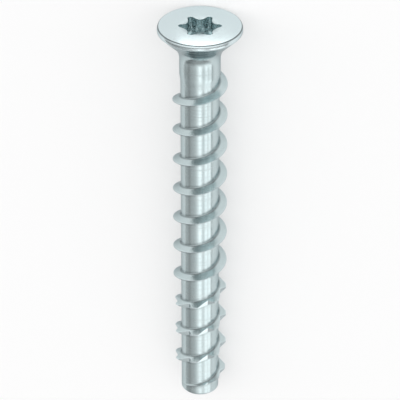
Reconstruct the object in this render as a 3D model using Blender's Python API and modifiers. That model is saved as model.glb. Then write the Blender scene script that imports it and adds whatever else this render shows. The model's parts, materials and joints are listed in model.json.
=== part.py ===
"""A countersunk concrete screw: six-lobe recess, coarse right-hand thread, saw-toothed near the tip.

The screw is modelled upright in its own frame, tip end at height 0 and head on top, and is then laid
on its side on the floor at z = 0: its head rim and two of its last teeth touch the floor.
Lengths are metres. Blender 4.5: run it from the text editor or with blender --background --python.
"""

import math

import bmesh
import bpy
import numpy as np

MM = 0.001

# Head: flat top, rounded rim, cone into the shank
SCREW_LENGTH = 59.3 * MM
HEAD_DIAMETER = 11.5 * MM
HEAD_FACE_DIAMETER = 11.1 * MM
RIM_ROUNDING_HEIGHT = 0.5 * MM
RIM_LAND_HEIGHT = 0.22 * MM
HEAD_CONE_ANGLE = math.radians(90.0)
NECK_FILLET_RADIUS = 3.0 * MM

# Plain shank, thread core and tip
SHANK_DIAMETER = 5.58 * MM
SHANK_REACH = 7.28 * MM             # from the head's top to the shank's lower end
SHANK_STEP_LENGTH = 0.89 * MM       # taper from the shank to the core
CORE_DIAMETER = 5.32 * MM
TIP_ROUNDING_RADIUS = 0.36 * MM

# Thread ridge
THREAD_DIAMETER = 7.5 * MM
THREAD_PITCH = 4.725 * MM
CREST_WIDTH = 0.08 * MM
FLANK_ANGLE = math.radians(24.0)
THREAD_TIP_GAP = 0.75 * MM          # from the tip end to the ridge's first point
THREAD_HEAD_GAP = 7.22 * MM         # from the head's top to the ridge's last point
TIP_RUN_OUT_TURNS = 0.57            # turns over which the ridge rises from the core at the tip
HEAD_RUN_OUT_TURNS = 0.21           # turns over which it sinks back at the head
RIDGE_SINK = 0.2 * MM               # how far the ridge's foot reaches into the core
RIDGE_END_HEIGHT = 0.02 * MM        # of the ridge's end sections above its foot, inside the core

# Saw teeth cut into the crest of the turns next to the tip
TEETH_PER_TURN = 7
TOOTH_TIPS = 26                     # teeth from the thread's first point on
TOOTHED_DIAMETER = 7.4 * MM         # across the tips of the teeth
TOOTH_DEPTH = 0.68 * MM
STEPS_PER_TOOTH = 8                 # sections of the ridge in one tooth
FACE_STEPS = 2                      # of them, how many lie on the tooth's steep leading face
LAND_STEPS = 2                      # and how many on the uncut land behind its tip

# Six-lobe recess, size 30
RECESS_LOBES = 6
RECESS_LOBE_DIAMETER = 5.78 * MM    # across two opposite lobes
RECESS_VALLEY_DIAMETER = 4.07 * MM  # across two opposite ribs between lobes
RECESS_LOBE_RADIUS = 0.46 * MM      # rounding of a lobe's end
RECESS_DEPTH = 2.06 * MM            # to the foot of the recess wall
RECESS_FLOOR_DROP = 0.52 * MM       # further drop of the conical floor to its middle
RECESS_ANGLE = math.radians(4.5)    # from the thread's first point to a lobe, about the axis
DISH_DIAMETER = 5.47 * MM           # shallow conical dish round the recess
DISH_DEPTH = 0.57 * MM              # of the dish's cone at its apex, inside the recess

# Resting pose
FLOOR_TOOTH_GAP = 5                 # gap between two teeth that faces the floor, from the first point

# Mesh resolution
STEPS_PER_TURN = TEETH_PER_TURN * STEPS_PER_TOOTH
RIM_SEGMENTS = 4
FILLET_SEGMENTS = 4
TIP_SEGMENTS = 2
LOBE_SEGMENTS = 4
RIB_SEGMENTS = 5
CUT_MARGIN = 1.0 * MM               # how far the recess cutter stands out of the head
SHARP_EDGE_ANGLE = math.radians(30.0)
MERGE_DISTANCE = 1e-6

ZINC_COLOR = (0.62, 0.65, 0.66, 1.0)
ZINC_ROUGHNESS = 0.28


def arc(center, radii, start, end, segments):
    """Points of an elliptical arc in the plane of radius and height, both ends included."""
    angles = np.linspace(start, end, segments + 1)
    return [(center[0] + radii[0] * math.cos(a), center[1] + radii[1] * math.sin(a)) for a in angles]


def body_profile():
    """The turned outline as (radius, height) points, from the head's middle down to the tip's middle."""
    head_radius = HEAD_DIAMETER / 2
    face_radius = HEAD_FACE_DIAMETER / 2
    shank_radius = SHANK_DIAMETER / 2
    core_radius = CORE_DIAMETER / 2
    cone_slope = HEAD_CONE_ANGLE / 2
    rim_center = (face_radius, SCREW_LENGTH - RIM_ROUNDING_HEIGHT)
    rim_radii = (head_radius - face_radius, RIM_ROUNDING_HEIGHT)
    cone_top = rim_center[1] - RIM_LAND_HEIGHT
    cone_foot = cone_top - (head_radius - shank_radius) / math.tan(cone_slope)
    # The fillet touches the cone and the shank: its centre stands off the shank by its own radius
    tangent_length = NECK_FILLET_RADIUS * math.tan(cone_slope / 2)
    fillet_center = (shank_radius + NECK_FILLET_RADIUS, cone_foot - tangent_length)
    fillet = arc(fillet_center, (NECK_FILLET_RADIUS,) * 2, math.pi - cone_slope, math.pi, FILLET_SEGMENTS)
    shank_end = SCREW_LENGTH - SHANK_REACH
    tip_center = (core_radius - TIP_ROUNDING_RADIUS, TIP_ROUNDING_RADIUS)
    return [
        (0.0, SCREW_LENGTH),
        *arc(rim_center, rim_radii, math.pi / 2, 0.0, RIM_SEGMENTS),
        (head_radius, cone_top),
        *fillet,
        (shank_radius, shank_end),
        (core_radius, shank_end - SHANK_STEP_LENGTH),
        *arc(tip_center, (TIP_ROUNDING_RADIUS,) * 2, 0.0, -math.pi / 2, TIP_SEGMENTS),
        (0.0, 0.0),
    ]


def tooth_radius(angle):
    """Crest radius of the saw teeth at an angle from the thread's first point.

    Going down the thread from a tip, the steep face falls to the notch's floor, the ramp rises out of
    it and the land of the tooth below follows. Face and ramp are flat cuts, so each is a straight line
    in plan. A tip lies half a tooth from the thread's first point.
    """
    tooth_angle = math.tau / TEETH_PER_TURN
    tip_radius = TOOTHED_DIAMETER / 2
    floor_radius = tip_radius - TOOTH_DEPTH
    face_angle = tooth_angle * FACE_STEPS / STEPS_PER_TOOTH
    land_angle = tooth_angle * LAND_STEPS / STEPS_PER_TOOTH
    ramp_angle = tooth_angle - face_angle - land_angle
    below_tip = (tooth_angle / 2 - angle) % tooth_angle
    if below_tip < face_angle:
        return flat_cut_radius(below_tip, tip_radius, floor_radius, face_angle)
    if below_tip < face_angle + ramp_angle:
        return flat_cut_radius(below_tip - face_angle, floor_radius, tip_radius, ramp_angle)
    return tip_radius


def flat_cut_radius(angle, start_radius, end_radius, span):
    """Radius on the straight line from start_radius at angle 0 to end_radius at angle span."""
    return (start_radius * end_radius * math.sin(span)
            / (end_radius * math.sin(span - angle) + start_radius * math.sin(angle)))


def ridge_section(angle, total_angle):
    """One section of the thread ridge: its four corners as (radius, height above its middle)."""
    foot_radius = CORE_DIAMETER / 2 - RIDGE_SINK
    rise = min(1.0,
               angle / (TIP_RUN_OUT_TURNS * math.tau),
               (total_angle - angle) / (HEAD_RUN_OUT_TURNS * math.tau))
    full_radius = foot_radius + rise * (THREAD_DIAMETER / 2 - foot_radius)
    crest_radius = full_radius
    if angle < (TOOTH_TIPS - 0.5) * math.tau / TEETH_PER_TURN:
        crest_radius = min(full_radius, tooth_radius(angle))
    # A hair of height keeps the section's corners apart where the ridge starts and ends
    crest_radius = max(crest_radius, foot_radius + RIDGE_END_HEIGHT)

    def half_width(radius):
        return CREST_WIDTH / 2 + max(0.0, full_radius - radius) * math.tan(FLANK_ANGLE)

    foot_half = half_width(foot_radius)
    crest_half = half_width(crest_radius)
    return [(foot_radius, -foot_half), (crest_radius, -crest_half),
            (crest_radius, crest_half), (foot_radius, foot_half)]


def mesh_object(name, mesh, collection):
    """An object that holds the mesh, in the collection."""
    piece = bpy.data.objects.new(name, mesh)
    collection.objects.link(piece)
    return piece


def finished_mesh(name, bm):
    """Turn a bmesh into a mesh with its faces pointing out."""
    bmesh.ops.recalc_face_normals(bm, faces=bm.faces)
    mesh = bpy.data.meshes.new(name)
    bm.to_mesh(mesh)
    bm.free()
    return mesh


def turned_body(collection):
    """Head, shank, core and tip: the profile turned about Z by a Screw modifier."""
    profile = body_profile()
    mesh = bpy.data.meshes.new("turned_body")
    edges = [(i, i + 1) for i in range(len(profile) - 1)]
    mesh.from_pydata([(radius, 0.0, height) for radius, height in profile], edges, [])
    body = mesh_object("turned_body", mesh, collection)
    turn = body.modifiers.new("turn", "SCREW")
    turn.axis = "Z"
    turn.steps = STEPS_PER_TURN
    turn.render_steps = STEPS_PER_TURN
    turn.use_merge_vertices = True
    turn.merge_threshold = MERGE_DISTANCE
    turn.use_normal_calculate = True
    return body


def thread_ridge(collection):
    """The helical ridge: a loft through sections that follow the run-outs and the teeth."""
    height_span = SCREW_LENGTH - THREAD_TIP_GAP - THREAD_HEAD_GAP
    steps = round(height_span / THREAD_PITCH * STEPS_PER_TURN)
    total_angle = math.tau * steps / STEPS_PER_TURN
    bm = bmesh.new()
    rings = []
    for step in range(steps + 1):
        angle = math.tau * step / STEPS_PER_TURN
        middle = THREAD_TIP_GAP + THREAD_PITCH * step / STEPS_PER_TURN
        rings.append([bm.verts.new((radius * math.cos(angle), radius * math.sin(angle), middle + rise))
                      for radius, rise in ridge_section(angle, total_angle)])
    for lower, upper in zip(rings, rings[1:]):
        for i, vertex in enumerate(lower):
            following = (i + 1) % len(lower)
            bm.faces.new((vertex, lower[following], upper[following], upper[i]))
    bm.faces.new(rings[0])
    bm.faces.new(rings[-1])
    return mesh_object("thread_ridge", finished_mesh("thread_ridge", bm), collection)


def six_lobe_outline():
    """The recess outline in plan: lobe ends and ribs as arcs that touch each other."""
    half_lobe = math.pi / RECESS_LOBES
    lobe_center = RECESS_LOBE_DIAMETER / 2 - RECESS_LOBE_RADIUS
    rib_tip = RECESS_VALLEY_DIAMETER / 2
    across = lobe_center * math.cos(half_lobe)
    # The rib's radius follows from the distance between the two arcs' centres: the sum of their radii
    rib_radius = ((lobe_center ** 2 + rib_tip ** 2 - 2 * across * rib_tip - RECESS_LOBE_RADIUS ** 2)
                  / (2 * (RECESS_LOBE_RADIUS + across - rib_tip)))
    rib_center = rib_tip + rib_radius
    touch_x = rib_center * math.cos(half_lobe) - lobe_center
    touch_y = rib_center * math.sin(half_lobe)
    lobe_sweep = math.atan2(touch_y, touch_x)
    rib_sweep = lobe_sweep - half_lobe
    points = []
    for lobe in range(RECESS_LOBES):
        toward = 2 * half_lobe * lobe
        center = (lobe_center * math.cos(toward), lobe_center * math.sin(toward))
        points += arc(center, (RECESS_LOBE_RADIUS,) * 2, toward - lobe_sweep, toward + lobe_sweep,
                      LOBE_SEGMENTS)
        toward += half_lobe
        center = (rib_center * math.cos(toward), rib_center * math.sin(toward))
        rib = arc(center, (rib_radius,) * 2, toward + math.pi + rib_sweep, toward + math.pi - rib_sweep,
                  RIB_SEGMENTS)
        points += rib[1:-1]
    return points


def recess_cutter(collection):
    """The six-lobe socket: the outline pushed down from above the head, with a conical floor."""
    bm = bmesh.new()
    top = SCREW_LENGTH + CUT_MARGIN
    outline = bm.faces.new([bm.verts.new((x, y, top)) for x, y in six_lobe_outline()])
    pushed = bmesh.ops.extrude_face_region(bm, geom=[outline], use_keep_orig=True)["geom"]
    floor = [part for part in pushed if isinstance(part, bmesh.types.BMFace)]
    bmesh.ops.translate(bm, verts=floor[0].verts, vec=(0.0, 0.0, -(CUT_MARGIN + RECESS_DEPTH)))
    middle = bmesh.ops.poke(bm, faces=floor)["verts"][0]
    middle.co.z -= RECESS_FLOOR_DROP
    cutter = mesh_object("recess_cutter", finished_mesh("recess_cutter", bm), collection)
    cutter.rotation_euler.z = RECESS_ANGLE
    return cutter


def dish_cutter(collection):
    """The shallow cone that dishes the head round the recess, carried on above the head."""
    dish_slope = DISH_DEPTH / (DISH_DIAMETER / 2)
    top_radius = DISH_DIAMETER / 2 + CUT_MARGIN / dish_slope
    bm = bmesh.new()
    bmesh.ops.create_cone(bm, cap_ends=True, segments=STEPS_PER_TURN, radius1=0.0, radius2=top_radius,
                          depth=DISH_DEPTH + CUT_MARGIN)
    bmesh.ops.remove_doubles(bm, verts=bm.verts, dist=MERGE_DISTANCE)
    cutter = mesh_object("dish_cutter", finished_mesh("dish_cutter", bm), collection)
    cutter.location.z = SCREW_LENGTH + (CUT_MARGIN - DISH_DEPTH) / 2
    return cutter


def add_boolean(piece, tool, operation):
    """Join or cut the piece with a tool object, exactly."""
    step = piece.modifiers.new(tool.name, "BOOLEAN")
    step.operation = operation
    step.solver = "EXACT"
    step.object = tool


def zinc_plated_steel():
    """Bright zinc-plated steel."""
    material = bpy.data.materials.new("zinc_plated_steel")
    material.use_nodes = True
    shader = material.node_tree.nodes["Principled BSDF"]
    shader.inputs["Base Color"].default_value = ZINC_COLOR
    shader.inputs["Metallic"].default_value = 1.0
    shader.inputs["Roughness"].default_value = ZINC_ROUGHNESS
    return material


def screw_solid(collection):
    """The finished screw as one solid: turned body and ridge joined, then dish and recess cut."""
    work = bpy.data.collections.new("cutters")
    bpy.context.scene.collection.children.link(work)
    body = turned_body(work)
    tools = {
        thread_ridge(work): "UNION",
        dish_cutter(work): "DIFFERENCE",
        recess_cutter(work): "DIFFERENCE",
    }
    for tool, operation in tools.items():
        tool.hide_render = True
        tool.display_type = "WIRE"
        add_boolean(body, tool, operation)
    evaluated = body.evaluated_get(bpy.context.evaluated_depsgraph_get())
    mesh = bpy.data.meshes.new_from_object(evaluated)
    mesh.name = "concrete_screw"
    mesh.materials.clear()
    mesh.materials.append(zinc_plated_steel())
    mesh.shade_smooth()
    mesh.set_sharp_from_angle(angle=SHARP_EDGE_ANGLE)
    for made in (body, *tools):
        bpy.data.objects.remove(made)
    bpy.data.collections.remove(work)
    return mesh_object("concrete_screw", mesh, collection)


def vertex_positions(mesh):
    """The mesh's vertices as an array of rows x, y, z."""
    positions = np.empty(len(mesh.vertices) * 3, dtype=np.float32)
    mesh.vertices.foreach_get("co", positions)
    return positions.reshape(-1, 3).astype(float)


def resting_tilt(height, drop):
    """Angle by which the axis leans when the screw lies on its two lowest places.

    height is each vertex's place along the axis and drop is how far it reaches down from the axis.
    The floor touches the convex outline of these points on the stretch that holds the middle of the
    screw's length, and the axis leans by that stretch's slope.
    """
    outline = []
    for point in sorted(zip(height, drop)):
        while len(outline) > 1 and crosses_inside(outline[-2], outline[-1], point):
            outline.pop()
        outline.append(point)
    middle = (min(height) + max(height)) / 2
    for low, high in zip(outline, outline[1:]):
        if low[0] <= middle <= high[0]:
            return math.atan2(high[1] - low[1], high[0] - low[0])
    return 0.0


def crosses_inside(first, second, third):
    """Whether the middle point lies on or below the line from the first point to the third."""
    return ((second[0] - first[0]) * (third[1] - first[1])
            >= (third[0] - first[0]) * (second[1] - first[1]))


def lay_on_floor(screw, collection):
    """Turn the screw on its side, head toward -X, and stand its box's bottom middle on the origin."""
    # The middle of the gap lies half a land above the middle between the two tips
    floor_angle = (FLOOR_TOOTH_GAP + LAND_STEPS / STEPS_PER_TOOTH / 2) * math.tau / TEETH_PER_TURN
    points = vertex_positions(screw.data)
    drop = points[:, 0] * math.cos(floor_angle) + points[:, 1] * math.sin(floor_angle)
    tilt = resting_tilt(points[:, 2], drop)
    rest = bpy.data.objects.new("lying_pose", None)
    collection.objects.link(rest)
    # Turning about Y by minus 90 degrees takes the screw's own +Z to -X and its own -X to the floor
    rest.rotation_euler.y = tilt - math.pi / 2
    screw.parent = rest
    screw.rotation_euler.z = math.pi - floor_angle
    bpy.context.view_layer.update()
    placed = points @ np.array(screw.matrix_world.to_3x3()).T
    low, high = placed.min(axis=0), placed.max(axis=0)
    rest.location = (-(low[0] + high[0]) / 2, -(low[1] + high[1]) / 2, -low[2])


def build():
    """Empty the scene and make the screw, lying on the floor."""
    for old in list(bpy.data.objects):
        bpy.data.objects.remove(old)
    parts = bpy.data.collections.new("concrete_screw_parts")
    bpy.context.scene.collection.children.link(parts)
    lay_on_floor(screw_solid(parts), parts)
    bpy.context.view_layer.update()


build()
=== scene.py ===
"""Looks of a countersunk concrete screw that lies on a pale studio floor.

The screw is one seamless surface, computed in its own frame: its axis is Z, the flat end of the tip is at
height 0 and the top of the head at SCREW_LENGTH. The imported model's two end faces say where it lies.
Lengths are metres and angles radians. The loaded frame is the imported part, and the fine surface
takes the place of its one node.
"""

from __future__ import annotations

import json
import logging
import math
from dataclasses import dataclass, field
from enum import Enum

import bpy
import numpy as np
from mathutils import Matrix, Vector

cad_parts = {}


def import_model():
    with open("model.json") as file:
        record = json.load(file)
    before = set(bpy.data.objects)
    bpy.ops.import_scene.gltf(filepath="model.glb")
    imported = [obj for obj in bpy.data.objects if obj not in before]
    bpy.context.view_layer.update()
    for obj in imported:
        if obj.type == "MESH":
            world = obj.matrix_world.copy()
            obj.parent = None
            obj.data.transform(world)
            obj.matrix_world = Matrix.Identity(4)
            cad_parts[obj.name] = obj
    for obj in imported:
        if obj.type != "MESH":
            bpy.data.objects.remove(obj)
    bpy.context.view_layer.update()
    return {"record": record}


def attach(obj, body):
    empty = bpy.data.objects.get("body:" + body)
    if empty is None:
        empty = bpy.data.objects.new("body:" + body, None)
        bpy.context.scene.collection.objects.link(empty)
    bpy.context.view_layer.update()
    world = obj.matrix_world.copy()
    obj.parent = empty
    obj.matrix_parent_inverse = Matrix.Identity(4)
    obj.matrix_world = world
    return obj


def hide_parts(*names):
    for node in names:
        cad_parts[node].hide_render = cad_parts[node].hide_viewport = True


MM = 0.001
NODE = "concrete_screw"
BODY = "root"
SLOT = "zinc_plated_steel"
SCREW_LENGTH = 59.3 * MM
CORE_RADIUS = 2.66 * MM
SHANK_RADIUS = 2.79 * MM
TIP_ROUNDING = 0.36 * MM
SHANK_JOIN = SCREW_LENGTH - 6.9 * MM

# Where a Mix node keeps its two colours and their mix.
MIX_COLORS = slice(6, 8)
MIX_RESULT = 2

log = logging.getLogger(NODE)


class SurfaceData(Enum):
    """Values stored on the screw's points for its material to read."""

    OWN_PLACE = "own_place"
    # Wear and painted highlight: rubbed edges, and the head's top and rim painted brighter.
    EDGE_WEAR = "painted_highlight_and_wear"
    # Painted shade: thread roots, tooth faces, crests and a line on the rim are painted darker.
    CORNER_SHADE = "painted_shade_marks"


class Flow(Enum):
    """How two surfaces that meet are smoothed into each other."""

    VALLEY = 1.0
    RIDGE = -1.0


def blended(first: np.ndarray, second: np.ndarray, reach: float, flow: Flow) -> np.ndarray:
    """Join two heights with a rounded corner.

    The higher (VALLEY) or the lower (RIDGE) of the two is taken. Where they differ by less than reach,
    the square of the missing share of reach, times a quarter of reach, fills the valley or shaves
    the ridge.

    Args:
        first: heights of one surface.
        second: heights of the other surface.
        reach: difference of height at which the rounding starts.
        flow: whether the corner is a valley or a ridge.

    Returns:
        The heights of the joined surface.
    """
    sign = flow.value
    gap = np.clip(1.0 - np.abs(first - second) / reach, 0.0, 1.0)
    return sign * (np.maximum(sign * first, sign * second) + gap ** 2 * reach / 4)


def smooth_step(low: float, high: float, value: np.ndarray) -> np.ndarray:
    """Share from 0 at low to 1 at high, three times its square less twice its cube.

    Args:
        low: value at which the share is 0.
        high: value at which the share is 1.
        value: the values to grade.

    Returns:
        The share at each value.
    """
    share = np.clip((value - low) / (high - low), 0.0, 1.0)
    return share * share * (3.0 - 2.0 * share)


def arc(center: tuple[float, float], radii: tuple[float, float], start: float, end: float,
        count: int) -> np.ndarray:
    """Points of an elliptical arc: the centre plus the two radii times cosine and sine.

    Args:
        center: radius and height of the middle.
        radii: the arc's reach along radius and height.
        start: angle of the first point.
        end: angle of the last point.
        count: how many points.

    Returns:
        Rows of radius and height.
    """
    angles = np.linspace(start, end, count)
    return np.stack([center[0] + radii[0] * np.cos(angles), center[1] + radii[1] * np.sin(angles)], axis=1)


def linked(name: str, data: bpy.types.ID) -> bpy.types.Object:
    """Make an object and put it in the scene.

    Args:
        name: the object's name.
        data: its mesh, light or camera.

    Returns:
        The object.
    """
    made = bpy.data.objects.new(name, data)
    bpy.context.scene.collection.objects.link(made)
    return made


@dataclass
class Patch:
    """A grid of points in the screw's own frame: its rows run round the axis.

    Attributes:
        points: array of rows, columns and x, y, z.
        wear_and_highlight: how bright each point is painted, 0 to 1, by rows and columns: rubbed edges, and
            a
        painted highlight on the head's top, dish, land and rim.
        shade: how much painted shade darkens each point, 0 to 1: roots, tooth faces, crests, rim line.
    """

    points: np.ndarray
    wear_and_highlight: np.ndarray
    shade: np.ndarray


@dataclass
class ToothPattern:
    """Saw teeth cut in the crest: a steep face below each tip, a long ramp, then an uncut land."""

    per_turn: int = 7
    tips: int = 26
    tip_radius: float = 3.7 * MM
    depth: float = 0.68 * MM
    face_share: float = 0.25
    land_share: float = 0.25
    face_columns: int = 5
    ramp_columns: int = 8
    land_columns: int = 4
    corner_step: float = math.radians(0.4)

    @property
    def span(self) -> float:
        """Angle that one tooth takes."""
        return math.tau / self.per_turn

    @property
    def end(self) -> float:
        """Angle along the helix at which the last tooth's tip lies."""
        return (self.tips - 0.5) * self.span

    def columns(self) -> np.ndarray:
        """Angles of the grid's columns, close together at each of a tooth's corners.

        Returns:
            Rising angles over one turn, the first at 0 or above.
        """
        land = self.span * self.land_share
        notch = self.span * (1.0 - self.face_share)
        stretches = ((0.0, land, self.land_columns), (land, notch, self.ramp_columns),
                     (notch, self.span, self.face_columns))
        tooth = np.concatenate([
            np.concatenate([[low], np.linspace(low + self.corner_step, high - self.corner_step, count)])
            for low, high, count in stretches])
        tips = (np.arange(self.per_turn) + 0.5) * self.span
        return np.sort(np.mod((tips[:, None] + tooth[None, :]).ravel(), math.tau))

    def on_face(self, angle: np.ndarray) -> np.ndarray:
        """Whether a place is on the steep face below a tooth's tip.

        Args:
            angle: angles from the thread's first point.

        Returns:
            True where it is.
        """
        below_tip = np.mod(self.span / 2 - angle, self.span)
        return (below_tip < self.span * self.face_share) & (angle < self.end)

    def crest(self, angle: np.ndarray) -> np.ndarray:
        """Radius of the toothed crest.

        Face and ramp are flat cuts, straight lines in plan: the product of a line's end radii and the
        sine of its span, over the sum of each end's radius times the sine of the angle to the other end.

        Args:
            angle: angles from the thread's first point.

        Returns:
            The crest's radius at each angle.
        """
        floor = self.tip_radius - self.depth
        face = self.span * self.face_share
        ramp = self.span * (1.0 - self.face_share - self.land_share)
        below_tip = np.mod(self.span / 2 - angle, self.span)
        on_face = below_tip < face
        width = np.where(on_face, face, ramp)
        reached = np.clip(np.where(on_face, below_tip, below_tip - face), 0.0, width)
        start = np.where(on_face, self.tip_radius, floor)
        end = np.where(on_face, floor, self.tip_radius)
        return start * end * np.sin(width) / (end * np.sin(width - reached) + start * np.sin(reached))


@dataclass
class ThreadedShank:
    """The core with its helical ridge, from the tip's rounding up to the plain shank."""

    teeth: ToothPattern
    pitch: float = 4.725 * MM
    outer_radius: float = 3.75 * MM
    crest_width: float = 0.08 * MM
    flank_slope: float = math.tan(math.radians(24.0))
    tip_gap: float = 0.75 * MM
    head_gap: float = 7.22 * MM
    tip_run_out: float = 0.57
    head_run_out: float = 0.21
    sink: float = 0.2 * MM
    root_rounding: float = 0.30 * MM
    edge_rounding: float = 0.02 * MM
    least_flank: float = 0.02 * MM
    crest_share: float = 0.55
    flank_shares: tuple[float, ...] = (0.08, 0.2)
    inner_shares: tuple[float, ...] = (1.0, 0.65, 0.3)
    outer_shares: tuple[float, ...] = (0.0, 0.25, 0.45, 0.62, 0.8, 1.0)
    groove_shares: tuple[float, ...] = (0.3, 0.64)
    root_share: float = 0.6
    shade_range: tuple[float, float] = (0.02 * MM, 0.20 * MM)
    shade_climb: float = 0.3
    shade_growth: tuple[float, float] = (0.05 * MM, 0.5 * MM)
    # Strength of the painted shade in the thread's roots.
    root_shade: float = 0.60
    # Painted shade on the steep tooth faces, standing in for dark reflections.
    face_shade: float = 0.30
    # Painted dark line on the uncut crests, standing in for a dark reflection.
    crest_shade: float = 0.25
    crest_rows: int = 2
    rub_reach: float = 0.16 * MM
    rub_growth: tuple[float, float] = (CORE_RADIUS + 0.1 * MM, CORE_RADIUS + 0.4 * MM)
    step_foot: float = SCREW_LENGTH - 8.2 * MM
    step_top: float = SCREW_LENGTH - 7.25 * MM
    low: float = TIP_ROUNDING
    high: float = SHANK_JOIN
    snap: float = 0.02 * MM
    spare_turns: int = 2

    @property
    def total_angle(self) -> float:
        """Angle of the whole helix."""
        return (SCREW_LENGTH - self.tip_gap - self.head_gap) / self.pitch * math.tau

    def base(self, height: np.ndarray) -> np.ndarray:
        """Radius without the ridge: the core, with a smooth step up to the shank.

        Args:
            height: heights above the tip end.

        Returns:
            The radius at each height.
        """
        risen = smooth_step(self.step_foot, self.step_top, height)
        return CORE_RADIUS + (SHANK_RADIUS - CORE_RADIUS) * risen

    def full_radius(self, angle: np.ndarray) -> np.ndarray:
        """Outer radius of the uncut ridge, which rises out of the core and sinks back into it.

        Args:
            angle: angles along the helix.

        Returns:
            The radius at each angle.
        """
        foot = CORE_RADIUS - self.sink
        rise = np.minimum(angle / (self.tip_run_out * math.tau),
                          (self.total_angle - angle) / (self.head_run_out * math.tau))
        return foot + np.clip(rise, 0.0, 1.0) * (self.outer_radius - foot)

    def crest_radius(self, angle: np.ndarray, full: np.ndarray) -> np.ndarray:
        """Radius of the crest, cut by the teeth near the tip.

        Args:
            angle: angles along the helix.
            full: the uncut radius at each angle.

        Returns:
            The radius at each angle.
        """
        return np.where(angle < self.teeth.end, np.minimum(full, self.teeth.crest(angle)), full)

    def offsets(self, full: np.ndarray, crest: np.ndarray) -> np.ndarray:
        """Places of the grid's rows across one pitch, which follow the ridge's edges.

        Args:
            full: uncut radius at each angle.
            crest: crest radius at each angle.

        Returns:
            Offsets along the axis from the ridge's middle: a last axis of rows, rising.
        """
        edge = self.crest_width / 2 + (full - crest) * self.flank_slope
        foot = self.crest_width / 2 + np.maximum(full - CORE_RADIUS, 0.0) * self.flank_slope
        foot = np.maximum(foot, edge + self.least_flank)
        flank = foot - edge
        groove = self.pitch / 2 - foot
        outward = self.root_rounding * self.flank_slope
        inward = np.minimum(outward, self.root_share * flank)
        side = [self.crest_share * edge, edge]
        side += [edge + share * flank for share in self.flank_shares]
        side += [foot - share * inward for share in self.inner_shares]
        side += [foot + share * outward for share in self.outer_shares]
        side += [foot + share * groove for share in self.groove_shares]
        last = np.full_like(edge, self.pitch / 2)
        return np.stack([-last, *(-row for row in reversed(side)), 0.0 * edge, *side], axis=-1)

    def radius(self, offset: np.ndarray, height: np.ndarray, full: np.ndarray,
               crest: np.ndarray) -> np.ndarray:
        """Radius of the surface: core and ridge, with a rounded root and rounded crest edges.

        A flank falls from the crest edge by the offset beyond it over the flank's slope.

        Args:
            offset: places along the axis from the ridge's middle.
            height: heights above the tip end.
            full: uncut radius of the ridge.
            crest: crest radius of the ridge.

        Returns:
            The radius at each place.
        """
        flank = full + (self.crest_width / 2 - np.abs(offset)) / self.flank_slope
        ridge = blended(np.broadcast_to(crest, flank.shape), flank, self.edge_rounding, Flow.RIDGE)
        return blended(self.base(height), ridge, self.root_rounding, Flow.VALLEY)

    def painted_shade_marks(self, offset: np.ndarray, radius: np.ndarray, full: np.ndarray,
                     crest: np.ndarray) -> np.ndarray:
        """Painted shade in the corner between ridge and core, where the root lies in shade.

        It is full at the corner and falls away smoothly over shade_range, where the distance is the
        offset from the corner plus shade_climb times the height above the core. It grows with the height
        of the ridge.

        Args:
            offset: places along the axis from the ridge's middle.
            radius: radius of the surface at each place.
            full: uncut radius of the ridge.
            crest: crest radius of the ridge.

        Returns:
            The shade at each place, 0 to 1.
        """
        foot = self.crest_width / 2 + np.maximum(full - CORE_RADIUS, 0.0) * self.flank_slope
        away = np.abs(np.abs(offset) - foot) + self.shade_climb * np.maximum(radius - CORE_RADIUS, 0.0)
        grown = smooth_step(*self.shade_growth, crest - CORE_RADIUS)
        return self.root_shade * grown * (1.0 - smooth_step(*self.shade_range, away))

    def lattice(self, columns: np.ndarray) -> tuple[np.ndarray, np.ndarray, np.ndarray, np.ndarray, int]:
        """The surface on a grid whose rows climb with the helix.

        The place at a turn and an angle is the tip gap, plus the pitch times the turns so far, plus the
        row's offset. It is held between low and high, where the rows end in level rings.

        Args:
            columns: angles of the columns over one turn.

        Returns:
            Points by column and row, their wear, their shade, which rows lie on the low (-1) or high (1)
            ring, and the number of rows in one pitch.
        """
        turns = np.arange(-self.spare_turns, math.ceil(self.total_angle / math.tau) + self.spare_turns)
        angle = columns[:, None] + turns[None, :] * math.tau
        full = self.full_radius(angle)
        crest = self.crest_radius(angle, full)
        offset = self.offsets(full, crest)
        rows = offset.shape[-1]
        angle, full, crest = angle[..., None], full[..., None], crest[..., None]
        height = self.tip_gap + self.pitch * angle / math.tau + offset
        radius = self.radius(offset, np.clip(height, self.low, self.high), full, crest)
        rubbed_and_highlight = 1.0 - smooth_step(0.0, self.rub_reach, np.abs(radius - crest))
        rubbed_and_highlight *= smooth_step(*self.rub_growth, radius)
        on_crest = np.abs(np.arange(rows) - rows // 2) <= self.crest_rows
        painted_dark = self.painted_shade_marks(offset, radius, full, crest)
        # Steep tooth faces and uncut crests get painted shade, standing in for dark reflections.
        painted_dark = np.where(self.teeth.on_face(angle) & on_crest, self.face_shade, painted_dark)
        painted_dark = np.where((crest >= full) & on_crest, np.maximum(painted_dark, self.crest_shade), painted_dark)
        shape = (len(columns), -1)
        height, radius, rubbed_and_highlight, painted_dark = (value.reshape(shape) for value in (height, radius, rubbed_and_highlight, painted_dark))
        ring = np.where(height < self.low + self.snap, -1, np.where(height > self.high - self.snap, 1, 0))
        turn = columns[:, None]
        points = np.stack([radius * np.cos(turn), radius * np.sin(turn), height], axis=-1)
        return points, rubbed_and_highlight, painted_dark, ring, rows


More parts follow.
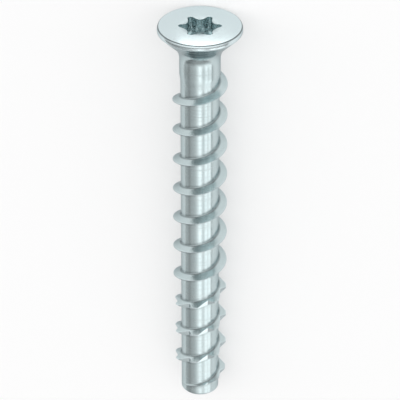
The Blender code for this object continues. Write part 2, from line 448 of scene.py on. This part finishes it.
@dataclass
class Tip:
    """The flat end of the core with its rounded edge."""

    rounding: float = TIP_ROUNDING
    flat_shares: tuple[float, ...] = (0.02, 0.35, 0.7, 0.93)
    arc_points: int = 11

    def rings(self, columns: np.ndarray) -> Patch:
        """Rings from near the middle of the end face out to the core.

        Args:
            columns: angles of the columns.

        Returns:
            The patch, its last row at the core's full radius.
        """
        flat = CORE_RADIUS - self.rounding
        middle = np.array([[share * flat, 0.0] for share in self.flat_shares])
        radii = (self.rounding, self.rounding)
        edge = arc((flat, self.rounding), radii, -math.pi / 2, 0.0, self.arc_points)
        profile = np.concatenate([middle, edge])
        wear_and_highlight = np.concatenate([np.zeros(len(middle)), np.sin(np.linspace(0.0, math.pi, self.arc_points))])
        return turned(profile, wear_and_highlight, np.zeros(len(profile)), columns)


def turned(profile: np.ndarray, wear_and_highlight: np.ndarray, shade: np.ndarray, columns: np.ndarray) -> Patch:
    """Turn a profile about the axis: radius times cosine and sine of each column's angle.

    Args:
        profile: rows of radius and height.
        wear_and_highlight: wear of each row.
        shade: shade of each row.
        columns: angles of the columns.

    Returns:
        The turned patch.
    """
    across, height, wear_and_highlight, shade = (np.repeat(rows[:, None], len(columns), axis=1)
                                   for rows in (*profile.T, wear_and_highlight, shade))
    points = np.stack([across * np.cos(columns), across * np.sin(columns), height], axis=-1)
    return Patch(points, wear_and_highlight, shade)


@dataclass
class SixLobeRecess:
    """Outline of the six-lobe recess: lobe ends and ribs as arcs that touch."""

    lobes: int = 6
    lobe_reach: float = 2.89 * MM
    rib_reach: float = 2.035 * MM
    lobe_rounding: float = 0.46 * MM
    turn: float = math.radians(4.5)
    depth: float = 2.06 * MM
    floor_drop: float = 0.52 * MM
    samples: int = 240

    def outline(self, columns: np.ndarray) -> tuple[np.ndarray, np.ndarray]:
        """Polar form of the outline, with columns spread evenly along its length.

        Half a lobe is an arc about the lobe's centre, then an arc about the rib's centre that touches it.
        The rib's rounding follows from the distance between the centres, the sum of both roundings.

        Args:
            columns: angles of the columns.

        Returns:
            The outline's angle and radius for each column.
        """
        half = math.pi / self.lobes
        lobe_center = self.lobe_reach - self.lobe_rounding
        across = lobe_center * math.cos(half)
        rib_rounding = ((lobe_center ** 2 + self.rib_reach ** 2 - 2 * across * self.rib_reach
                         - self.lobe_rounding ** 2)
                        / (2 * (self.lobe_rounding + across - self.rib_reach)))
        rib_center = self.rib_reach + rib_rounding
        sweep = math.atan2(rib_center * math.sin(half), rib_center * math.cos(half) - lobe_center)
        lobe_turn = np.linspace(0.0, sweep, self.samples)
        lobe_end = lobe_center + self.lobe_rounding * np.exp(1j * lobe_turn)
        rib_turn = np.linspace(math.pi + sweep, math.pi + half, self.samples)
        rib = rib_center * np.exp(1j * half) + rib_rounding * np.exp(1j * rib_turn)
        line = np.concatenate([lobe_end, rib[1:]])
        walked = np.concatenate([[0.0], np.cumsum(np.abs(np.diff(line)))])
        place = np.mod((columns - self.turn) / (2 * half), 1.0)
        mirrored = np.where(place > 0.5, 1.0 - place, place) * 2.0 * walked[-1]
        angle = np.interp(mirrored, walked, np.angle(line))
        reach = np.interp(mirrored, walked, np.abs(line))
        lobe = np.floor((columns - self.turn) / (2 * half))
        within = np.where(place > 0.5, 2 * half - angle, angle)
        return self.turn + lobe * 2 * half + within, reach


@dataclass
class Head:
    """Plain shank, neck fillet, cone, rounded rim, flat top, dish and recess."""

    recess: SixLobeRecess
    shank_low: float = SHANK_JOIN
    radius: float = 5.75 * MM
    face_radius: float = 5.55 * MM
    rim_height: float = 0.5 * MM
    land: float = 0.22 * MM
    neck: float = 3.0 * MM
    cone_slope: float = math.radians(45.0)
    dish_radius: float = 2.735 * MM
    dish_depth: float = 0.57 * MM
    dish_rounding: float = 0.02 * MM
    edge: float = 0.05 * MM
    shank_points: int = 5
    fillet_points: int = 10
    cone_points: int = 8
    rim_points: int = 16
    lip_points: int = 4
    # Strength of the painted dark line on the rim, a painted reflection.
    line_shade: float = 0.85
    line_start: tuple[float, float] = (30.0, 60.0)
    line_end: tuple[float, float] = (78.0, 90.0)
    face_rows: tuple[float, ...] = (5.45 * MM, 4.9 * MM, 4.2 * MM, 3.6 * MM, 3.2 * MM)
    turn_start: float = 4.9 * MM
    turn_end: float = 3.2 * MM
    dish_rows: tuple[tuple[float, float], ...] = (
        (0.25 * MM, 2.6), (0.06 * MM, 2.3), (0.0, 2.0), (-0.06 * MM, 1.7), (-0.3 * MM, 1.4))
    wall_shares: tuple[float, ...] = (0.06, 0.25, 0.5, 0.75, 0.94)
    floor_shares: tuple[float, ...] = (0.985, 0.94, 0.75, 0.5, 0.25, 0.06)

    def outside(self, columns: np.ndarray) -> Patch:
        """Rings from the shank up to the edge of the flat top.

        Land and rim are painted bright all round, as rubbed wear and as a painted highlight. The painted
        dark line on the rim, a painted reflection, rises and falls smoothly over line_start and line_end,
        in degrees along the rim's arc.

        Args:
            columns: angles of the columns.

        Returns:
            The patch, its first row on the shank.
        """
        rim_center = (self.face_radius, SCREW_LENGTH - self.rim_height)
        cone_top = rim_center[1] - self.land
        cone_foot = cone_top - (self.radius - SHANK_RADIUS) / math.tan(self.cone_slope)
        touch = self.neck * math.tan(self.cone_slope / 2)
        fillet_center = (SHANK_RADIUS + self.neck, cone_foot - touch)
        shank = np.linspace((SHANK_RADIUS, self.shank_low), (SHANK_RADIUS, fillet_center[1]),
                            self.shank_points)[:-1]
        fillet = arc(fillet_center, (self.neck, self.neck), math.pi, math.pi - self.cone_slope,
                     self.fillet_points)
        cone = np.linspace(fillet[-1], (self.radius, cone_top), self.cone_points)[1:-1]
        corner = np.array([[self.radius - self.edge / 2, cone_top - self.edge / 2],
                           [self.radius, cone_top + self.edge],
                           [self.radius, rim_center[1] - self.edge]])
        rim = arc(rim_center, (self.radius - self.face_radius, self.rim_height), 0.0, math.pi / 2,
                  self.rim_points)
        profile = np.concatenate([shank, fillet, cone, corner, rim])
        wear_and_highlight = np.zeros(len(profile))
        # Land and rim painted bright: rubbed wear and a painted highlight.
        wear_and_highlight[-len(rim) - len(corner):] = 1.0
        rise = np.linspace(0.0, 90.0, len(rim))
        # A painted dark line along the rim's arc, standing in for a dark reflection.
        shade = np.zeros(len(profile))
        shade[-len(rim):] = self.line_shade * smooth_step(*self.line_start, rise)
        shade[-len(rim):] *= 1.0 - smooth_step(*self.line_end, rise)
        return turned(profile, wear_and_highlight, shade, columns)

    def top_height(self, reach: np.ndarray) -> np.ndarray:
        """Height of the top: flat, with a shallow cone inside the dish's circle.

        Args:
            reach: distances from the axis.

        Returns:
            The height at each distance.
        """
        cone = self.dish_depth * (reach / self.dish_radius - 1.0)
        return SCREW_LENGTH + blended(np.zeros_like(reach), cone, self.dish_rounding, Flow.RIDGE)

    def inside(self, columns: np.ndarray) -> Patch:
        """Rings from the edge of the flat top in to the recess, down its wall and in over its floor.

        Each ring is its angles, reaches, heights and wear. A ring's angle turns from the column's own to
        the outline's on the way in.

        Args:
            columns: angles of the columns.

        Returns:
            The patch, its last row near the middle of the recess floor.
        """
        toward, outline = self.recess.outline(columns)
        rings = []
        # The flat top is painted bright all over: a painted highlight.
        for row in self.face_rows:
            share = float(smooth_step(self.turn_start, self.turn_end, np.array(row)))
            reach = np.full(len(columns), row)
            rings.append((columns + share * (toward - columns), reach, self.top_height(reach), 1.0))
        # The dish is painted bright too: a painted highlight.
        for beyond, clear in self.dish_rows:
            reach = np.maximum(self.dish_radius + beyond, outline + clear * self.edge)
            rings.append((toward, reach, self.top_height(reach), 1.0))
        lip = self.top_height(outline + self.edge)
        for turn in np.linspace(0.0, math.pi / 2, self.lip_points):
            reach = outline + self.edge * (1.0 - math.sin(turn))
            drop = self.edge * (1.0 - math.cos(turn))
            rings.append((toward, reach, lip - drop, math.sin(2 * turn)))
        foot = SCREW_LENGTH - self.recess.depth
        for share in self.wall_shares:
            rings.append((toward, outline, (1.0 - share) * (lip - self.edge) + share * foot, 0.0))
        for share in self.floor_shares:
            drop = self.recess.floor_drop * (1.0 - share)
            rings.append((toward, outline * share, foot - drop, 0.0))
        angle, reach, height, wear_and_highlight = (
            np.array([np.broadcast_to(value, columns.shape) for value in values]) for values in zip(*rings))
        points = np.stack([reach * np.cos(angle), reach * np.sin(angle), height], axis=-1)
        return Patch(points, wear_and_highlight, np.zeros(wear_and_highlight.shape))


@dataclass
class Placement:
    """Where the screw lies: its tip, its axis and the side that faces the floor."""

    tip: np.ndarray
    axis: np.ndarray
    floor_angle: float = (5 + 1 / 8) * math.tau / 7

    @classmethod
    def from_record(cls, record: dict) -> Placement:
        """Read the tip and the axis from the record's mount on the tip's end face.

        Args:
            record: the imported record.

        Returns:
            The placement.
        """
        mounts = {mount["name"]: mount for mount in record["mounts"]}
        axis = -np.array(mounts["tip_face"]["axis"], dtype=float)
        return cls(np.array(mounts["tip_face"]["pos_m"], dtype=float), axis / np.linalg.norm(axis))

    def side(self, angle: float) -> np.ndarray:
        """Direction in the world of an angle about the screw's axis.

        Down is the world's down made square to the axis. The direction is down times the cosine of the
        angle from the floor side, plus the axis crossed with down, times its sine.

        Args:
            angle: angle in the screw's own frame.

        Returns:
            A unit vector square to the axis.
        """
        down = np.array([0.0, 0.0, -1.0])
        down = down - down.dot(self.axis) * self.axis
        down /= np.linalg.norm(down)
        turn = angle - self.floor_angle
        return math.cos(turn) * down + math.sin(turn) * np.cross(self.axis, down)

    def place(self, points: np.ndarray) -> np.ndarray:
        """Move points from the screw's own frame to where it lies.

        Args:
            points: rows of x, y, z in the screw's own frame.

        Returns:
            Rows of x, y, z in the world.
        """
        turn = np.stack([self.side(0.0), self.side(math.pi / 2), self.axis])
        return self.tip + points @ turn


@dataclass
class ConcreteScrew:
    """The whole screw as one closed mesh."""

    placement: Placement
    teeth: ToothPattern = field(default_factory=ToothPattern)
    sharp_angle: float = math.radians(42.0)

    def build(self, material: bpy.types.Material) -> bpy.types.Object:
        """Make the mesh and dress it.

        Args:
            material: the screw's finish.

        Returns:
            The screw's object.
        """
        columns = self.teeth.columns()
        tip = Tip().rings(columns)
        head = Head(SixLobeRecess())
        outside = head.outside(columns)
        inside = head.inside(columns)
        upper = Patch(np.concatenate([outside.points, inside.points]),
                      np.concatenate([outside.wear_and_highlight, inside.wear_and_highlight]),
                      np.concatenate([outside.shade, inside.shade]))
        points, wear_and_highlight, shade, polygons = self.joined(columns, tip, upper)
        mesh = bpy.data.meshes.new("fine_" + NODE)
        mesh.from_pydata(self.placement.place(points).tolist(), [], polygons)
        mesh.shade_smooth()
        mesh.set_sharp_from_angle(angle=self.sharp_angle)
        own = mesh.attributes.new(SurfaceData.OWN_PLACE.value, "FLOAT_VECTOR", "POINT")
        own.data.foreach_set("vector", (points / MM).astype(np.float32).ravel())
        for name, values in ((SurfaceData.EDGE_WEAR, wear_and_highlight), (SurfaceData.CORNER_SHADE, shade)):
            stored = mesh.attributes.new(name.value, "FLOAT", "POINT")
            stored.data.foreach_set("value", values.astype(np.float32))
        mesh.materials.append(material)
        return linked("fine_screw", mesh)

    def joined(self, columns: np.ndarray, tip: Patch,
               upper: Patch) -> tuple[np.ndarray, np.ndarray, np.ndarray, list]:
        """Join the tip, the threaded lattice and the upper rings into one set of points and faces.

        The lattice's rows that are held on its low or high ring use the points of the ring there, so
        its cells close against the rings as triangles. Past the last column the rows of the first
        column follow one pitch further up.

        Args:
            columns: angles of the columns.
            tip: rings of the tip, the last one being the low ring.
            upper: rings of shank and head, the first one being the high ring.

        Returns:
            All points, their wear, their shade, and the faces as lists of point numbers.
        """
        count = len(columns)
        lattice, rubbed_and_highlight, painted_dark, ring, rows = ThreadedShank(self.teeth).lattice(columns)
        tip_total = tip.points.shape[0] * count
        upper_total = upper.points.shape[0] * count
        tip_index = np.arange(tip_total).reshape(-1, count)
        upper_index = tip_total + np.arange(upper_total).reshape(-1, count)
        free = ring == 0
        index = np.where(ring < 0, tip_index[-1][:, None], upper_index[0][:, None])
        index[free] = tip_total + upper_total + np.arange(int(free.sum()))
        first_pole = tip_total + upper_total + int(free.sum())
        ends = np.array([[0.0, 0.0, tip.points[0, 0, 2]], [0.0, 0.0, upper.points[-1, :, 2].mean()]])
        points = np.concatenate([tip.points.reshape(-1, 3), upper.points.reshape(-1, 3), lattice[free],
                                 ends])
        wear_and_highlight = np.concatenate([tip.wear_and_highlight.ravel(), upper.wear_and_highlight.ravel(), rubbed_and_highlight[free], np.zeros(2)])
        shade = np.concatenate([tip.shade.ravel(), upper.shade.ravel(), painted_dark[free], np.zeros(2)])
        quads = [self.ring_quads(tip_index), self.ring_quads(upper_index), self.helix_quads(index, rows)]
        following = np.roll(np.arange(count), -1)
        inner, outer = tip_index[0], upper_index[-1]
        fans = [np.stack([np.full(count, first_pole), inner[following], inner], axis=1),
                np.stack([np.full(count, first_pole + 1), outer, outer[following]], axis=1)]
        return points, wear_and_highlight, shade, self.polygons(np.concatenate(quads)) + np.concatenate(fans).tolist()

    @staticmethod
    def ring_quads(index: np.ndarray) -> np.ndarray:
        """Faces between level rings, which close on themselves.

        Args:
            index: point numbers by row and column.

        Returns:
            Rows of four point numbers.
        """
        following = np.roll(index, -1, axis=1)
        corners = (index[:-1], following[:-1], following[1:], index[1:])
        return np.stack([corner.ravel() for corner in corners], axis=1)

    @staticmethod
    def helix_quads(index: np.ndarray, rows: int) -> np.ndarray:
        """Faces of the lattice: the column after the last is the first, one pitch of rows further up.

        Args:
            index: point numbers by column and row.
            rows: rows in one pitch.

        Returns:
            Rows of four point numbers.
        """
        top = np.repeat(index[0][-1:], rows)
        after_last = np.concatenate([index[0][rows:], top])
        following = np.concatenate([index[1:], after_last[None, :]])
        corners = (index[:, :-1], following[:, :-1], following[:, 1:], index[:, 1:])
        return np.stack([corner.ravel() for corner in corners], axis=1)

    @staticmethod
    def polygons(quads: np.ndarray) -> list:
        """Drop repeated corners: a quad stays, becomes a triangle, or goes.

        Args:
            quads: rows of four point numbers.

        Returns:
            Faces as lists of point numbers.
        """
        repeats = quads == np.roll(quads, -1, axis=1)
        kept = repeats.sum(axis=1)
        whole = quads[kept == 0]
        corner = kept == 1
        triangles = quads[corner][~repeats[corner]].reshape(-1, 3)
        return whole.tolist() + triangles.tolist()


@dataclass(frozen=True)
class Nodes:
    """Adds nodes to one node tree. A value given to it is a socket to link, or a plain value to set."""

    tree: bpy.types.NodeTree

    def add(self, kind: str, **settings: str) -> bpy.types.Node:
        """Add a node and set its own settings.

        Args:
            kind: the node's type.
            settings: its properties by name.

        Returns:
            The node.
        """
        made = self.tree.nodes.new(kind)
        for name, value in settings.items():
            setattr(made, name, value)
        return made

    def feed(self, socket: bpy.types.NodeSocket, value: object) -> None:
        """Link a socket, or set it where the value is plain.

        Args:
            socket: the input to feed.
            value: what to feed it.
        """
        if isinstance(value, bpy.types.NodeSocket):
            self.tree.links.new(value, socket)
        else:
            socket.default_value = value

    def arithmetic(self, operation: str, *values: object) -> bpy.types.NodeSocket:
        """One step of arithmetic.

        Args:
            operation: the kind of step.
            values: the one to three values that it takes.

        Returns:
            The result.
        """
        made = self.add("ShaderNodeMath", operation=operation)
        for socket, value in zip(made.inputs, values):
            self.feed(socket, value)
        return made.outputs[0]

    def ranged(self, value: object, source: tuple[float, float],
               target: tuple[float, float] = (0.0, 1.0)) -> bpy.types.NodeSocket:
        """Map a value from one range to another, held at the ends.

        Args:
            value: the value to map.
            source: values that give the ends of the target range.
            target: the ends of the target range.

        Returns:
            The mapped value.
        """
        made = self.add("ShaderNodeMapRange")
        for name, setting in zip(("From Min", "From Max", "To Min", "To Max"), (*source, *target)):
            made.inputs[name].default_value = setting
        self.feed(made.inputs["Value"], value)
        return made.outputs["Result"]

    def mix(self, share: object, first: object, second: object) -> bpy.types.NodeSocket:
        """Mix two colours.

        Args:
            share: share of the second colour.
            first: the first colour.
            second: the second colour.

        Returns:
            The mixed colour.
        """
        made = self.add("ShaderNodeMix", data_type="RGBA")
        sockets = (made.inputs["Factor"], *made.inputs[MIX_COLORS])
        for socket, value in zip(sockets, (share, first, second)):
            self.feed(socket, value)
        return made.outputs[MIX_RESULT]

    def noise(self, place: object, scale: float, detail: float) -> bpy.types.NodeSocket:
        """Noise over a place.

        Args:
            place: the place to read.
            scale: how many clouds to one unit.
            detail: how many finer layers.

        Returns:
            A value between 0 and 1.
        """
        made = self.add("ShaderNodeTexNoise")
        for name, value in (("Vector", place), ("Scale", scale), ("Detail", detail)):
            self.feed(made.inputs[name], value)
        return made.outputs["Fac"]


@dataclass(frozen=True)
class ZincPlating:
    """Bright blue-white zinc plating on rolled steel, with a fine satin grain and rubbed edges, a painted
    highlight on the head, and painted shade in roots, on tooth faces and crests and in a rim line.

    Places are in the screw's own frame, in millimetres.
    """

    cool: tuple[float, float, float, float] = (0.55, 0.65, 0.665, 1.0)
    warm: tuple[float, float, float, float] = (0.59, 0.68, 0.69, 1.0)
    # Bright tint for rubbed edges and for the painted highlight on the head.
    rubbed_and_highlight: tuple[float, float, float, float] = (0.725, 0.825, 0.845, 1.0)
    # Dark tint of the painted shade.
    painted_dark: tuple[float, float, float, float] = (0.07, 0.09, 0.095, 1.0)
    grazing: tuple[float, float, float, float] = (0.55, 0.57, 0.58, 1.0)
    cloud_scale: float = 0.45
    cloud_detail: float = 3.0
    grain_scale: float = 9.0
    grain_detail: float = 4.0
    rolled_stretch: tuple[float, float, float] = (0.12, 0.12, 3.2)
    rolled_detail: float = 3.0
    rolled_tint: float = 0.45
    tone_range: tuple[float, float] = (0.485, 0.965)
    satin_range: tuple[float, float] = (0.75, 1.25)
    roughness: tuple[float, float] = (0.17, 0.28)
    bump_strength: float = 0.35
    bump_height: float = 0.0025 * MM
    ring_scale: float = 14.0
    ring_height: float = 0.25
    head_zone: tuple[float, float] = (53.5, 55.5)

    def material(self) -> bpy.types.Material:
        """Build the node material.

        Clouds and rolled marks mix two tints. Rubbed edges are brighter, and a painted highlight brightens
        the head's top and rim; painted shade darkens roots, tooth faces, crests and a rim line. Grain and
        rolled marks give the roughness, and with faint turning rings on the head they give the bump.

        Returns:
            The material.
        """
        made = bpy.data.materials.new(SLOT)
        made.use_nodes = True
        nodes = Nodes(made.node_tree)
        shader = made.node_tree.nodes["Principled BSDF"]
        shader.inputs["Metallic"].default_value = 1.0
        shader.inputs["Specular Tint"].default_value = self.grazing
        own, wear_and_highlight, shade = (nodes.add("ShaderNodeAttribute", attribute_name=data.value)
                            for data in SurfaceData)
        place = own.outputs["Vector"]
        cloud = nodes.noise(place, self.cloud_scale, self.cloud_detail)
        grain = nodes.noise(place, self.grain_scale, self.grain_detail)
        rolled = self.rolled_marks(nodes, place)
        tone = nodes.arithmetic("ADD", cloud, nodes.arithmetic("MULTIPLY", rolled, self.rolled_tint))
        color = nodes.mix(nodes.ranged(tone, self.tone_range), self.cool, self.warm)
        # Wear and painted highlight brighten the colour; painted shade darkens it.
        color = nodes.mix(wear_and_highlight.outputs["Fac"], color, self.rubbed_and_highlight)
        color = nodes.mix(shade.outputs["Fac"], color, self.painted_dark)
        nodes.feed(shader.inputs["Base Color"], color)
        satin = nodes.arithmetic("ADD", rolled, grain)
        nodes.feed(shader.inputs["Roughness"], nodes.ranged(satin, self.satin_range, self.roughness))
        bump = nodes.add("ShaderNodeBump")
        nodes.feed(bump.inputs["Strength"], self.bump_strength)
        nodes.feed(bump.inputs["Distance"], self.bump_height)
        nodes.feed(bump.inputs["Height"], nodes.arithmetic("ADD", satin, self.turning_rings(nodes, place)))
        nodes.feed(shader.inputs["Normal"], bump.outputs["Normal"])
        return made

    def rolled_marks(self, nodes: Nodes, place: bpy.types.NodeSocket) -> bpy.types.NodeSocket:
        """Fine uneven marks round the axis, left by the rolling: noise that is stretched round it.

        Args:
            nodes: the material's nodes.
            place: the place on the screw.

        Returns:
            A value between 0 and 1.
        """
        stretched = nodes.add("ShaderNodeVectorMath", operation="MULTIPLY")
        nodes.feed(stretched.inputs[0], place)
        nodes.feed(stretched.inputs[1], self.rolled_stretch)
        return nodes.noise(stretched.outputs["Vector"], 1.0, self.rolled_detail)

    def turning_rings(self, nodes: Nodes, place: bpy.types.NodeSocket) -> bpy.types.NodeSocket:
        """Faint rings about the axis on the head: a sine of the height along the axis.

        Args:
            nodes: the material's nodes.
            place: the place on the screw.

        Returns:
            The rings' height.
        """
        split = nodes.add("ShaderNodeSeparateXYZ")
        nodes.feed(split.inputs[0], place)
        height = split.outputs["Z"]
        wave = nodes.arithmetic("SINE", nodes.arithmetic("MULTIPLY", height, math.tau * self.ring_scale))
        on_head = nodes.ranged(height, self.head_zone, (0.0, self.ring_height))
        return nodes.arithmetic("MULTIPLY", wave, on_head)


@dataclass(frozen=True)
class SoftLight:
    """A rectangular soft light, hidden from the camera and turned to the point it is aimed at."""

    name: str
    place: tuple[float, float, float]
    aim: tuple[float, float, float]
    size: tuple[float, float]
    power: float

    def build(self) -> None:
        """Make the light."""
        data = bpy.data.lights.new(self.name, "AREA")
        data.shape = "RECTANGLE"
        data.size, data.size_y = self.size
        data.energy = self.power
        light = linked(self.name, data)
        light.location = self.place
        light.rotation_euler = (Vector(self.aim) - Vector(self.place)).to_track_quat("-Z", "Y").to_euler()
        light.visible_camera = False


@dataclass(frozen=True)
class Graded:
    """A brightness that follows a value through given stops."""

    stops: tuple[tuple[float, float], ...]
    blend: str = "EASE"
    peak: float = 4.0

    def connect(self, nodes: Nodes, value: bpy.types.NodeSocket) -> bpy.types.NodeSocket:
        """Add the nodes that grade the value.

        The value's share of the way from the first stop to the last picks a grey from a ramp, and the
        grey times peak is the brightness.

        Args:
            nodes: the nodes to add to.
            value: the value to grade.

        Returns:
            The brightness.
        """
        first, last = self.stops[0][0], self.stops[-1][0]
        ramp = nodes.add("ShaderNodeValToRGB")
        ramp.color_ramp.interpolation = self.blend
        elements = ramp.color_ramp.elements
        while len(elements) < len(self.stops):
            elements.new(0.5)
        for element, (place, brightness) in zip(elements, self.stops):
            element.position = (place - first) / (last - first)
            element.color = (brightness / self.peak,) * 3 + (1.0,)
        nodes.feed(ramp.inputs["Fac"], nodes.ranged(value, (first, last)))
        return nodes.arithmetic("MULTIPLY", ramp.outputs["Color"], self.peak)


@dataclass(frozen=True)
class SkyBand:
    """A band of sky across the screw's length: its lean along it, and its brightness by degrees across."""

    lean: float
    across: Graded


@dataclass
class Studio:
    """Pale floor, a soft sky whose bands run across the screw, and a soft panel before the head."""

    floor_half: float = 3.0
    floor_color: tuple[float, float, float, float] = (0.97, 0.97, 0.97, 1.0)
    floor_roughness: float = 0.9
    floor_lift: float = 0.35
    bands: tuple[SkyBand, ...] = (
        SkyBand(-1.0, Graded(((-90.0, 0.32), (90.0, 0.32)))),
        SkyBand(-0.75, Graded((
            (-90.0, 0.26), (-60.0, 0.66), (0.0, 1.05), (30.0, 1.05), (60.0, 0.70), (90.0, 0.26)))),
        SkyBand(-0.45, Graded(((-90.0, 0.44), (-60.0, 1.14), (0.0, 1.93), (60.0, 1.40), (90.0, 0.79)))),
        SkyBand(-0.15, Graded(((-90.0, 0.88), (-60.0, 1.40), (0.0, 1.84), (60.0, 1.45), (90.0, 0.88)))),
        SkyBand(0.15, Graded(((-90.0, 0.44), (-60.0, 0.70), (0.0, 0.79), (60.0, 0.88), (90.0, 0.48)))),
        SkyBand(0.38, Graded(((-90.0, 0.09), (90.0, 0.09)))),
        SkyBand(0.54, Graded((
            (-90.0, 0.66), (-72.0, 0.70), (-56.0, 0.40), (-42.0, 0.68), (-28.0, 0.74), (-14.0, 0.87),
            (0.0, 1.52), (10.0, 2.28), (20.0, 1.87), (28.0, 0.91), (36.0, 1.09), (43.0, 1.78), (50.0, 2.10),
            (57.0, 1.23), (64.0, 1.46), (71.0, 2.04), (80.0, 1.51), (90.0, 0.18)))),
        SkyBand(0.70, Graded((
            (-90.0, 0.22), (-30.0, 0.44), (0.0, 0.96), (30.0, 1.05), (60.0, 1.32), (90.0, 0.88)))),
        SkyBand(0.88, Graded(((-90.0, 0.13), (-20.0, 0.39), (30.0, 0.39), (90.0, 0.39)))),
        SkyBand(1.0, Graded(((-90.0, 0.25), (-30.0, 0.48), (30.0, 0.48), (90.0, 0.30)))),
    )
    lights: tuple[SoftLight, ...] = (
        SoftLight("head_panel", (-0.0475, 0.0, 0.0006), (-0.0475, 0.0, 0.1), (0.024, 0.008), 0.0008),
    )

    def build(self) -> None:
        """Make the floor, the sky and the soft light."""
        self.floor()
        self.world()
        for light in self.lights:
            light.build()

    def floor(self) -> None:
        """Make a wide flat floor at height 0."""
        half = self.floor_half
        outline = [(-half, -half, 0.0), (half, -half, 0.0), (half, half, 0.0), (-half, half, 0.0)]
        mesh = bpy.data.meshes.new("studio_floor")
        mesh.from_pydata(outline, [], [(0, 1, 2, 3)])
        material = bpy.data.materials.new("pale_floor")
        material.use_nodes = True
        shader = material.node_tree.nodes["Principled BSDF"]
        shader.inputs["Base Color"].default_value = self.floor_color
        shader.inputs["Roughness"].default_value = self.floor_roughness
        shader.inputs["Specular IOR Level"].default_value = 0.0
        self.lift(material.node_tree, shader)
        mesh.materials.append(material)
        piece = linked("studio_floor", mesh)

    def lift(self, tree: bpy.types.NodeTree, shader: bpy.types.Node) -> None:
        """Show the floor part of the way to white in the picture and in reflections.

        The floor's own look, with the screw's shadow, is mixed with a plain white of strength 1.

        Args:
            tree: the floor material's node tree.
            shader: the floor's own look.
        """
        nodes = Nodes(tree)
        rays = nodes.add("ShaderNodeLightPath").outputs
        shown = nodes.arithmetic("MAXIMUM", rays["Is Camera Ray"], rays["Is Glossy Ray"])
        shown = nodes.arithmetic("MAXIMUM", shown, rays["Is Transmission Ray"])
        white = nodes.add("ShaderNodeEmission")
        mixed = nodes.add("ShaderNodeMixShader")
        share = nodes.arithmetic("MULTIPLY", shown, self.floor_lift)
        for socket, source in zip(mixed.inputs, (share, shader.outputs[0], white.outputs[0])):
            nodes.feed(socket, source)
        nodes.feed(tree.nodes["Material Output"].inputs["Surface"], mixed.outputs[0])

    def world(self) -> None:
        """Make the sky.

        A direction's lean is its part along X, and its angle about the screw's length is the arc tangent
        of its part along Y over its part along Z. Its brightness is that of the two nearest bands at this
        angle, each weighed by how near its lean is.
        """
        world = bpy.data.worlds.new("studio_sky")
        world.use_nodes = True
        nodes = Nodes(world.node_tree)
        split = nodes.add("ShaderNodeSeparateXYZ")
        nodes.feed(split.inputs[0], nodes.add("ShaderNodeTexCoord").outputs["Generated"])
        lean, side, rise = split.outputs
        angle = nodes.arithmetic("DEGREES", nodes.arithmetic("ARCTAN2", side, rise))
        leans = [band.lean for band in self.bands]
        total = 0.0
        for number, band in enumerate(self.bands):
            stops = tuple((other, float(place == number)) for place, other in enumerate(leans))
            nearness = Graded(stops, "LINEAR").connect(nodes, lean)
            total = nodes.arithmetic("MULTIPLY_ADD", band.across.connect(nodes, angle), nearness, total)
        nodes.feed(world.node_tree.nodes["Background"].inputs["Color"], total)
        bpy.context.scene.world = world


@dataclass
class PhotoCamera:
    """The camera of the photograph, in the screw's own frame, carried to where the screw lies."""

    placement: Placement
    elevation: float = math.radians(32.37)
    distance: float = 343.0 * MM
    focal_pixels: float = 2469.6
    frame_pixels: float = 400.0
    aim_height: float = 31.84 * MM
    front_angle: float = math.radians(94.5)
    sensor: float = 36.0
    clip: tuple[float, float] = (0.01, 20.0)

    def build(self) -> None:
        """Make the camera: it stands off the aim point, in front of the screw and above its head."""
        axis = self.placement.axis
        front = self.placement.side(self.front_angle)
        aim = self.placement.tip + self.aim_height * axis
        away = math.cos(self.elevation) * front + math.sin(self.elevation) * axis
        up = math.cos(self.elevation) * axis - math.sin(self.elevation) * front
        right = np.cross(up, away)
        data = bpy.data.cameras.new("photo_camera")
        data.sensor_width = self.sensor
        data.lens = self.sensor * self.focal_pixels / self.frame_pixels
        data.clip_start, data.clip_end = self.clip
        camera = linked("photo_camera", data)
        turn = Matrix(np.stack([right, up, away], axis=1).tolist()).to_4x4()
        camera.matrix_world = Matrix.Translation(Vector(aim + self.distance * away)) @ turn
        bpy.context.scene.camera = camera


def corners(box: tuple) -> list[list[float]]:
    """A box's two corners as plain lists of numbers.

    Args:
        box: the lowest and the highest corner.

    Returns:
        The two corners.
    """
    return [[float(value) for value in corner] for corner in box]


def main() -> None:
    """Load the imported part, build the fine screw around it and set up the studio."""
    logging.basicConfig(level=logging.INFO, format="%(name)s: %(message)s")
    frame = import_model()
    placement = Placement.from_record(frame["record"])
    screw = ConcreteScrew(placement).build(ZincPlating().material())
    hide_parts(NODE)
    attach(screw, BODY)
    log.info("%s: %d points, %d faces", screw.name, len(screw.data.vertices), len(screw.data.polygons))
    Studio().build()
    PhotoCamera(placement).build()
    view = bpy.context.scene.view_settings
    view.view_transform = "Standard"


if __name__ == "__main__":
    main()
